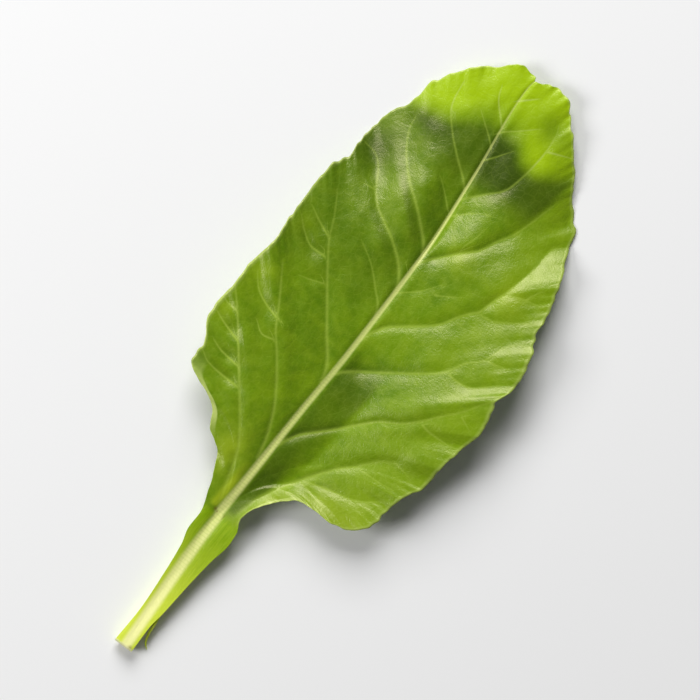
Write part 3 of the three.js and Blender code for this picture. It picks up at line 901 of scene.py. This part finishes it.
@dataclass
class Leaf:
    """The whole leaf: stalk, midrib, side veins and blade, as one closed sheet."""

    form: LeafForm = field(default_factory=LeafForm)
    rib_half_width: Along = Along((
        (0, 1.75), (30, 1.8), (44, 1.6), (60, 1.3), (80, 1.08), (105, 0.92), (148, 0.64), (170, 0.42),
        (200, 0.26),
    ))
    rib_paleness: Along = Along((
        (0, 1.0), (46, 0.95), (60, 0.96), (80, 0.82), (100, 0.72), (140, 0.76), (163, 0.72), (176, 0.45),
        (200, 0.3),
    ))
    rib_shift: float = 0.6
    # The tip's painted backlight: its soft edge, the blur above it and a darker gap in it.
    backlight_edge: Along = Along((
        (-26, 172), (-18, 173.5), (-13, 175.5), (-8, 179), (-1, 181.5), (5, 181), (10, 177.5),
        (14, 177), (20, 179.5), (24, 183),
    ))
    backlight_blur: Along = Along(((-26, 7), (-14, 9), (-6, 13), (3, 13), (9, 8), (14, 5), (26, 5)))
    backlight_gap: Patch = Patch(12, 191, 7, 5, 0.85)
    fold_line: Along = Along((
        (46, 3.6), (50, 4.6), (56, 6.2), (62, 8.4), (68, 10.2), (76, 12), (88, 13.8), (107, 15.5),
        (112, 15.6),
    ))
    outer_vein: Along = Along(((157, 18), (161, 20.3), (167, 22.5), (174, 24.5), (184, 26)))
    # Where the strip of painted shade right of the midrib lies along the leaf.
    shade_strip_zone: Zone = Zone(47, 50, 100, 109)
    ridged_zone: Zone = Zone(12, 40, 85, 120)
    foot_zone: Zone = Zone(47, 49, 54, 66)
    # Where the right base's roll gets painted highlight.
    roll_highlight_zone: Zone = Zone(3, 6, 18, 26)
    # Painted shade on the sides of some upper left veins turned from the light, and on two patches.
    vein_shade_zone: Zone = Zone(1, 4, 6, 9)
    vein_shade_patch: Patch = Patch(-9, 148, 8, 14, 0.28)
    shade_patches: tuple[Patch, ...] = (Patch(-26, 158, 7, 7, 0.6), Patch(-20, 173.5, 6, 3.5, 0.54))
    # Painted highlights in yellow-green, where slopes would catch the light.
    yellow_highlight_patches: tuple[Patch, ...] = (
        Patch(-9, 63, 5, 8, 0.5), Patch(12, 146, 4.5, 4.5, 0.25), Patch(30, 145, 5, 5, 0.25),
    )
    # Painted highlights on swellings of the left margin.
    pale_highlight_patches: tuple[Patch, ...] = (
        Patch(-31.5, 110, 4, 4, 0.6), Patch(-33.5, 95, 3, 3, 0.55), Patch(-30, 128, 4, 4, 0.5),
    )
    marks: tuple[Patch, ...] = (
        Patch(-2.0, 47.4, 0.45, 0.45, 1), Patch(1.6, 47.0, 0.4, 0.4, 1), Patch(2.0, 0.5, 0.7, 0.7, 1),
        Patch(-1.1, 46.9, 0.25, 0.25, 1),
    )

    def tip(self, x: Array, y: Array) -> Array:
        """Painted backlight at the tip: yellow-green above its soft edge, fainter on its right and in one
        darker patch.
        """
        edge = self.backlight_edge.at(x)
        tip = smoothstep(y, edge - 2, edge + self.backlight_blur.at(x)) * (1 - self.backlight_gap.at(x, y))
        return tip * (1 - 0.5 * smoothstep(x, 13, 20)) * smoothstep(y, 166, 176)

    def painted_shade(self, sheet: Sheet, on_right: Array) -> Array:
        """The painted shade: darker places where the blade would lie in shadow.

        They are the strip between the midrib and the fold at its right, the band below the tip, the upper
        left flank with two patches, and the sides of some upper left veins that turn away from the light.

        Args:
            sheet: the upper side.
            on_right: 1 right of the midrib and 0 left of it.

        Returns:
            How dark each point is.
        """
        x, y = sheet.x, sheet.y
        # Painted shade: the strip right of the midrib, the band below the tip, the upper left flank and vein
        # sides.
        blur = 1.4 + 5.0 * bell(y - 75, 9)
        strip = smoothstep(self.fold_line.at(y) - x, -0.6, blur) * smoothstep(sheet.across, 0.6, 2.4)
        strip = strip * self.shade_strip_zone.at(y) * (1 - 0.15 * smoothstep(y, 75, 90))
        strip = strip * (1 + 0.4 * bell(y - 62, 9) + 0.35 * bell(y - 97, 7))
        edge = self.backlight_edge.at(x)
        below_tip = 1 - smoothstep(y, edge - 3, edge + 4)
        shade_below_tip = smoothstep(y, 160, 171) * below_tip * smoothstep(self.outer_vein.at(y) - x, -1, 2.5)
        shade_below_tip = shade_below_tip * (0.4 + 0.6 * on_right - 0.2 * smoothstep(x, 8, 20)) * smoothstep(x, -30, -12)
        upper_left_shade = (1 - on_right) * smoothstep(y, 112, 126) * below_tip
        vein_shade = self.vein_shade_zone.at(sheet.vein_offset) * (1 - on_right) * self.vein_shade_patch.at(x, y)
        low = patches(self.shade_patches, x, y)
        return np.clip(0.5 * strip + 0.93 * shade_below_tip + 0.25 * upper_left_shade + low + vein_shade, 0, 0.93)

    def gold_and_highlight(self, sheet: Sheet, on_right: Array) -> Array:
        """Yellower places left of the midrib's foot and on the right base, with painted highlights on some
        patches.
        """
        x, y = sheet.x, sheet.y
        foot = bell(sheet.across + 2.6, 1.3) * self.foot_zone.at(y)
        base = 0.45 * smoothstep(x - self.fold_line.at(y), 0, 2) * bell(y - 54, 9) * on_right
        base = base + 0.25 * bell(y - 66, 7) * smoothstep(x, 12, 22)
        return np.clip(foot + base + patches(self.yellow_highlight_patches, x, y), 0, 0.8)

    def rim(self, sheet: Sheet, on_right: Array) -> Array:
        """Painted highlight on the margin's edge and the right base's roll, and the pale lip of the left
        base.
        """
        x, y, share = sheet.x, sheet.y, sheet.share
        # Painted highlight along the margin's edge, stronger on the left middle.
        edge_highlight = 0.55 + 0.3 * bell(y - 100, 25) * (1 - on_right)
        lip = 0.95 * bell(y - 71, 5.5) * smoothstep(-x, 13, 17) * smoothstep(share, 0.91, 0.935)
        roll = 0.6 * bell(y - 58, 8) * self.roll_highlight_zone.at(x) * smoothstep(share, 0.93, 0.955)
        return np.maximum.reduce([edge_highlight * smoothstep(share, 0.982, 1.0), lip, roll])

    def light(self, sheet: Sheet, on_right: Array) -> Array:
        """Painted highlight: lighter places on the outer right flank, the left flank's middle and some
        patches.
        """
        right = 0.3 * smoothstep(sheet.share, 0.4, 0.9) * on_right
        left = 0.12 * (1 - on_right) * bell(sheet.y - 90, 18)
        return right + left + patches(self.pale_highlight_patches, sheet.x, sheet.y)

    def fields(self, sheet: Sheet) -> dict[str, Array]:
        """The number fields that the finishes read, worked out by rule from the grid.

        Args:
            sheet: the upper side.

        Returns:
            Each field's name with one number for each point of the grid.
        """
        x, y, across = sheet.x, sheet.y, sheet.across
        blade = smoothstep(y, 45.4, 47.6)
        on_right = smoothstep(across, -1.0, 1.0)
        clearer = 1 + 0.9 * smoothstep(-x, 15, 22) * bell(y - 92, 20)
        return {
            "vein_offset": sheet.vein_offset,
            "vein_weight": sheet.vein_weight * clearer,
            "across": across,
            "rib_offset": (across - self.rib_shift * (1 - blade)) / self.rib_half_width.at(y),
            "rib": self.rib_paleness.at(y),
            "ridged": self.ridged_zone.at(y),
            "bleach": 1 - smoothstep(y, 4, 46),
            "wing": 1 - blade,
            "mark": np.clip(patches(self.marks, x, y), 0, 1),
            "cut": (y < 0.01) * 1.0,
            # The fields from here on carry painted light and shade: backlight at the tip, highlights and
            # shade.
            "tip": self.tip(x, y),
            "rim": self.rim(sheet, on_right) * blade,
            "light": self.light(sheet, on_right) * blade,
            "gold_and_highlight": self.gold_and_highlight(sheet, on_right) * blade,
            "painted_shade": self.painted_shade(sheet, on_right),
        }

    def build(self, sheet: Sheet, shift: Array, finishes: list[bpy.types.Material]) -> bpy.types.Object:
        """Builds the mesh: upper side, underside and rim, with its fields and finishes.

        Args:
            sheet: the upper side.
            shift: from the leaf's own millimetres to the frame's.
            finishes: the upper side's finish and the underside's.

        Returns:
            The piece.
        """
        rows, columns = sheet.x.shape
        top = np.stack([sheet.x, sheet.y, sheet.z], axis=-1).reshape(-1, 3)
        under = np.stack([sheet.x, sheet.y, sheet.underside], axis=-1).reshape(-1, 3)
        points = (np.concatenate([top, under]) + shift) * MM

        index = np.arange(rows * columns).reshape(rows, columns)
        a, b, c, d = index[:-1, :-1], index[:-1, 1:], index[1:, 1:], index[1:, :-1]
        upper = np.stack([a, b, c, d], axis=-1).reshape(-1, 4)
        lower = upper[:, ::-1] + rows * columns
        rim = np.concatenate([index[0, :-1], index[:-1, -1], index[-1, :0:-1], index[:0:-1, 0]])
        following = np.roll(rim, -1)
        edge = np.stack([rim, rim + len(top), following + len(top), following], axis=-1)
        faces = np.concatenate([upper, lower, edge])

        fields = {name: np.tile(values.reshape(-1), 2) for name, values in self.fields(sheet).items()}
        kinds = np.zeros(len(faces), np.int32)
        kinds[len(upper):len(upper) + len(lower)] = 1
        piece = new_piece("leaf_body", points, faces.tolist(), fields, finishes, kinds)
        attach(piece, "root")
        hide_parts("leaf")
        log.info("leaf_body: %d points, %d faces", len(points), len(faces))
        return piece


@dataclass(frozen=True)
class PeeledStrip:
    """A thin strip of skin that has come off the side of the stalk and hangs down to its cut end.

    A key of the path is a place along it, its point X, Y, Z in the leaf's own millimetres, and half the
    strip's width there.
    """

    path: Along = Along((
        (0, 3.3, 14.5, 3.3, 0.05), (2.5, 3.5, 12, 3.3, 0.42), (4.6, 3.65, 9.9, 3.1, 0.45),
        (6.8, 3.8, 7.8, 2.6, 0.40), (9, 4.2, 5.8, 1.9, 0.34), (11, 4.9, 4.2, 1.2, 0.28),
        (13, 6.3, 2.9, 0.6, 0.04),
    ))
    flatness: float = 0.55
    rings: int = 64
    sides: int = 14
    # Paler than the stalk beside it: partly painted light that lifts the shade the strip hangs in.
    bleach: float = 0.9

    def build(self, shift: Array, finish: bpy.types.Material) -> bpy.types.Object:
        """Builds the strip as a tapered tube with closed ends.

        A ring's points are centre + width (cos t * side + flatness * sin t * up), where side is level
        and square to the path and up is square to both.

        Args:
            shift: from the leaf's own millimetres to the frame's.
            finish: the finish of the leaf's upper side.

        Returns:
            The piece.
        """
        place = np.linspace(self.path.keys[0][0], self.path.keys[-1][0], self.rings)
        centre = np.stack([self.path.at(place, column) for column in (1, 2, 3)], axis=-1)
        heading = np.gradient(centre, axis=0)
        heading /= np.linalg.norm(heading, axis=1, keepdims=True)
        side = np.stack([heading[:, 1], -heading[:, 0], np.zeros(self.rings)], axis=-1)
        side /= np.linalg.norm(side, axis=1, keepdims=True)
        up = np.cross(side, heading)
        angle = np.linspace(0, 2 * np.pi, self.sides, endpoint=False)[None, :, None]
        width = self.path.at(place, 4)[:, None, None]
        ring = np.cos(angle) * side[:, None] + self.flatness * np.sin(angle) * up[:, None]
        tube = (centre[:, None] + width * ring).reshape(-1, 3)
        points = (np.concatenate([tube, centre[:1], centre[-1:]]) + shift) * MM

        index = np.arange(len(tube)).reshape(self.rings, self.sides)
        after = np.roll(index, -1, axis=1)
        walls = np.stack([index[:-1], after[:-1], after[1:], index[1:]], axis=-1).reshape(-1, 4)
        first, last = len(tube), len(tube) + 1
        ends = [(first, int(b), int(a)) for a, b in zip(index[0], after[0])]
        ends += [(last, int(a), int(b)) for a, b in zip(index[-1], after[-1])]
        faces = walls.tolist() + ends
        fields = {"wing": np.ones(len(points)), "bleach": np.full(len(points), self.bleach)}
        kinds = np.zeros(len(faces), np.int32)
        piece = new_piece("stalk_strip", points, faces, fields, [finish], kinds)
        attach(piece, "root")
        log.info("stalk_strip: %d points", len(points))
        return piece


@dataclass(frozen=True)
class Lamp:
    """A square soft light: its name, its place and side in metres, and its strength in watts."""

    name: str
    place: Point
    size: float
    power: float

    def build(self) -> None:
        """Hangs the light so that it faces the leaf."""
        data = bpy.data.lights.new(self.name, "AREA")
        data.shape, data.size, data.energy = "SQUARE", self.size, self.power
        lamp = bpy.data.objects.new(self.name, data)
        x, y, z = self.place
        lamp.location = self.place
        lamp.rotation_euler = (math.atan2(math.hypot(x, y), z), 0, math.atan2(y, x) + math.pi / 2)
        bpy.context.collection.objects.link(lamp)


@dataclass(frozen=True)
class Studio:
    """A plain pale floor, soft light from the left of the leaf, and a camera that looks down."""

    frame_width: float = 0.1990
    camera_height: float = 1.4
    turn: float = math.radians(36.4)
    aim: Point = (-0.0028, 0.0055, 0.008)
    sensor: float = 36.0
    lamps: tuple[Lamp, ...] = (
        Lamp("key_light", (-0.70, 0.95, 0.92), 1.0, 24), Lamp("side_light", (-0.95, -0.70, 0.92), 0.7, 12),
    )
    floor_half: float = 4.0
    floor_grey: float = 0.86
    sky_strength: float = 0.1

    def floor(self) -> None:
        """A pale floor, wide enough to fill every view."""
        half = self.floor_half
        mesh = bpy.data.meshes.new("floor")
        corners = [(-half, -half, 0), (half, -half, 0), (half, half, 0), (-half, half, 0)]
        mesh.from_pydata(corners, [], [(0, 1, 2, 3)])
        material = bpy.data.materials.new("floor_paint")
        material.use_nodes = True
        shader = material.node_tree.nodes["Principled BSDF"]
        shader.inputs["Base Color"].default_value = (self.floor_grey,) * 3 + (1,)
        shader.inputs["Roughness"].default_value = 0.8
        mesh.materials.append(material)
        floor = bpy.data.objects.new("floor", mesh)
        bpy.context.collection.objects.link(floor)

    def camera(self) -> None:
        """The camera, which looks straight down with the frame turned against the leaf."""
        data = bpy.data.cameras.new("camera")
        data.sensor_width = self.sensor
        data.lens = self.sensor * (self.camera_height - self.aim[2]) / self.frame_width
        data.clip_end = 20
        camera = bpy.data.objects.new("camera", data)
        camera.location = (self.aim[0], self.aim[1], self.camera_height)
        camera.rotation_euler = (0, 0, self.turn)
        bpy.context.collection.objects.link(camera)
        bpy.context.scene.camera = camera

    def build(self) -> None:
        """Sets up the floor, the lights, the sky and the camera."""
        self.floor()
        for lamp in self.lamps:
            lamp.build()
        world = bpy.data.worlds.new("soft_sky")
        world.use_nodes = True
        background = world.node_tree.nodes["Background"]
        background.inputs["Color"].default_value = (1, 1, 1, 1)
        background.inputs["Strength"].default_value = self.sky_strength
        bpy.context.scene.world = world
        bpy.context.scene.view_settings.view_transform = "Standard"
        self.camera()


def main() -> None:
    """Builds the leaf and the studio, and reports each piece."""
    logging.basicConfig(level=logging.INFO, format="%(name)s: %(message)s")
    Studio().build()
    leaf = Leaf()
    sheet = leaf.form.sheet()
    middle = np.array([sheet.x.min() + sheet.x.max(), sheet.y.min() + sheet.y.max()]) / 2
    low, high = (np.array(corner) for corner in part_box("leaf"))
    shift = np.append((low + high)[:2] / 2 / MM - middle, 0.0)
    finishes = [finish.material() for finish in (UPPER, UNDER)]
    pieces = [leaf.build(sheet, shift, finishes), PeeledStrip().build(shift, finishes[0])]
    log.info("placed %s", ", ".join(piece.name for piece in pieces))


if __name__ == "__main__":
    main()
